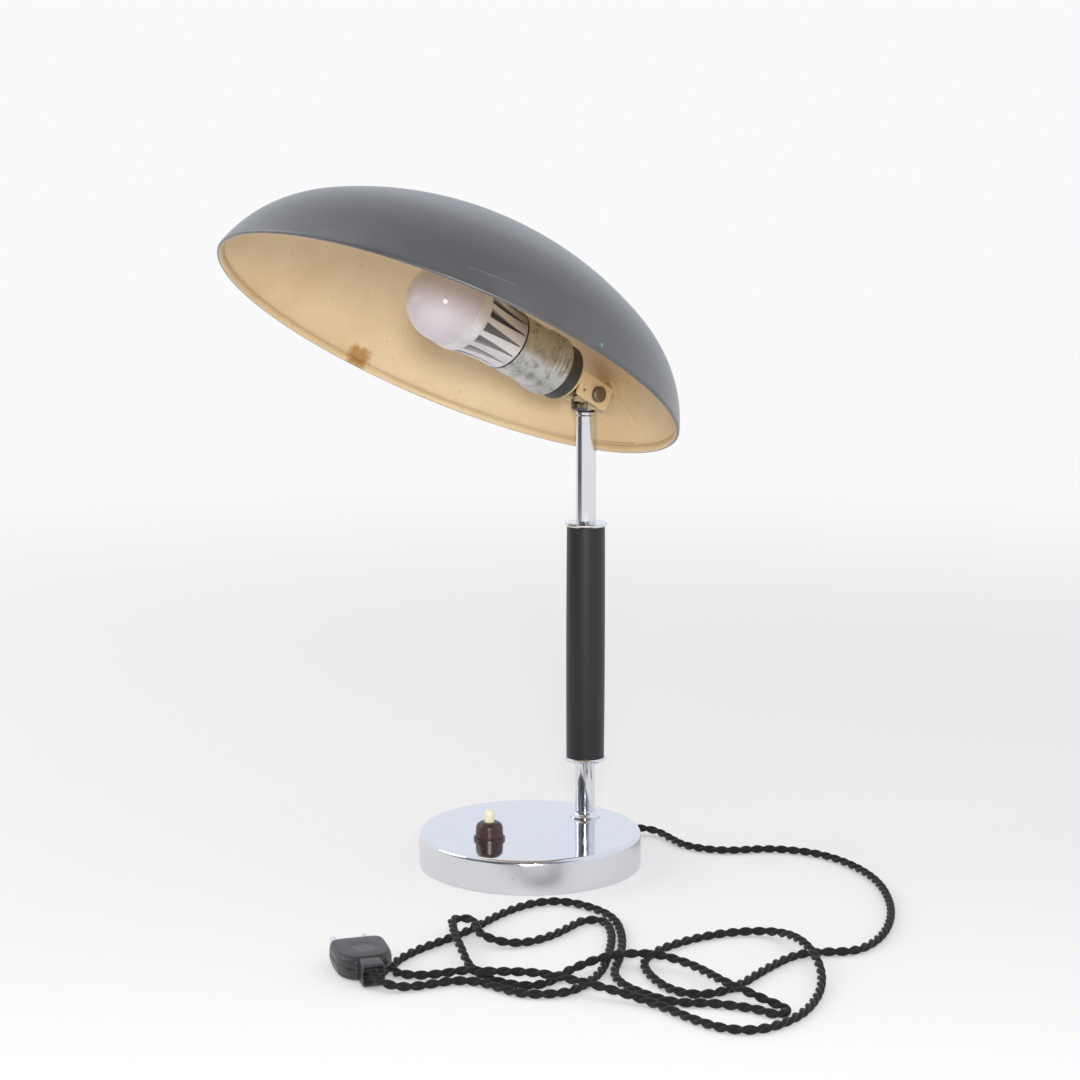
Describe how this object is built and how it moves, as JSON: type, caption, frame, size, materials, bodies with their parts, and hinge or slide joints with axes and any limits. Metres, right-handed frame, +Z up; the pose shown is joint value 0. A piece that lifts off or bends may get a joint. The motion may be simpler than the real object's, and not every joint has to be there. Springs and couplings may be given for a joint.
{
  "type": "desk lamp",
  "caption": "Desk lamp with a tilting spun metal dome shade on a chromed stem with a hand grip, a round weighted base with a push switch, a finned bulb and a twisted textile cord with plug.",
  "frame": {"origin": "Centre of the round base's underside, on the table.", "axes": "+Z up, the shade reaches towards -Y, +X across the hinge."},
  "size_m": [0.4804, 0.3915, 0.4531],
  "materials": {
    "polished_chrome": "polished chrome plate on steel, lightly pitted",
    "satin_black_paint": "satin black stove enamel on spun steel, lightly scratched",
    "bare_steel": "bare steel hardware, dulled",
    "cast_iron_weight": "rough cast iron",
    "aged_brass": "aged brass threads and contacts",
    "grip_bakelite": "satin black hard rubber tube",
    "brown_bakelite": "dark brown moulded phenolic",
    "cream_button": "cream moulded plastic",
    "cream_enamel": "aged cream enamel",
    "dark_insulator": "moulded phenolic insulator",
    "holder_aluminium": "spun aluminium, dulled",
    "heat_sink_plastic": "pale grey moulded heat sink",
    "diffuser_opal": "opal polycarbonate",
    "textile_cord": "black braided textile over two twisted cores",
    "plug_plastic": "dark grey moulded plug",
    "felt": "dense dark green felt",
    "black_rubber": "soft black rubber"
  },
  "bodies": {
    "stand": {"base_shell": "polished_chrome", "base_weight": "cast_iron_weight", "base_cover": "bare_steel", "base_felt": "felt", "base_screws": "bare_steel", "cord_bush": "black_rubber", "switch_cap": "brown_bakelite", "switch_body": "brown_bakelite", "stem_tube": "polished_chrome", "stem_nut": "bare_steel", "stem_washer": "bare_steel", "foot_collar": "polished_chrome", "lower_flange": "polished_chrome", "grip_sleeve": "grip_bakelite", "upper_flange": "polished_chrome", "tube_insert": "aged_brass", "neck_ring": "polished_chrome", "neck_washer": "black_rubber", "neck_nipple": "aged_brass", "fork_nut": "aged_brass", "head_fork": "polished_chrome", "hinge_bolt": "bare_steel", "hinge_washers": "dark_insulator", "spring_washer": "bare_steel", "hinge_nut": "bare_steel", "mains_cord": "textile_cord", "plug_lower_half": "plug_plastic", "plug_upper_half": "plug_plastic", "plug_pins": "bare_steel", "plug_screw": "bare_steel"},
    "press_button": {"switch_button": "cream_button"},
    "shade_head": {"shade_shell": "satin_black_paint", "shade_bracket": "cream_enamel", "holder_nipple": "aged_brass", "holder_nut": "bare_steel", "holder_cap": "dark_insulator", "holder_shell": "holder_aluminium", "holder_core": "dark_insulator", "holder_liner": "aged_brass", "holder_contact": "aged_brass", "bulb_cap": "aged_brass", "bulb_neck": "dark_insulator", "bulb_heat_sink": "heat_sink_plastic", "bulb_ring": "heat_sink_plastic", "bulb_diffuser": "diffuser_opal"}
  },
  "joints": [
    {"name": "shade_tilt", "type": "hinge", "parent": "stand", "child": "shade_head", "pos_m": [0, 0.0503, 0.3161], "axis": [-1, 0, 0], "range_deg": [-60, 11]},
    {"name": "button_press", "type": "slide", "parent": "stand", "child": "press_button", "axis": [0, 0, -1], "range_m": [0, 0.0025], "stiffness_N_per_m": 600}
  ]
}
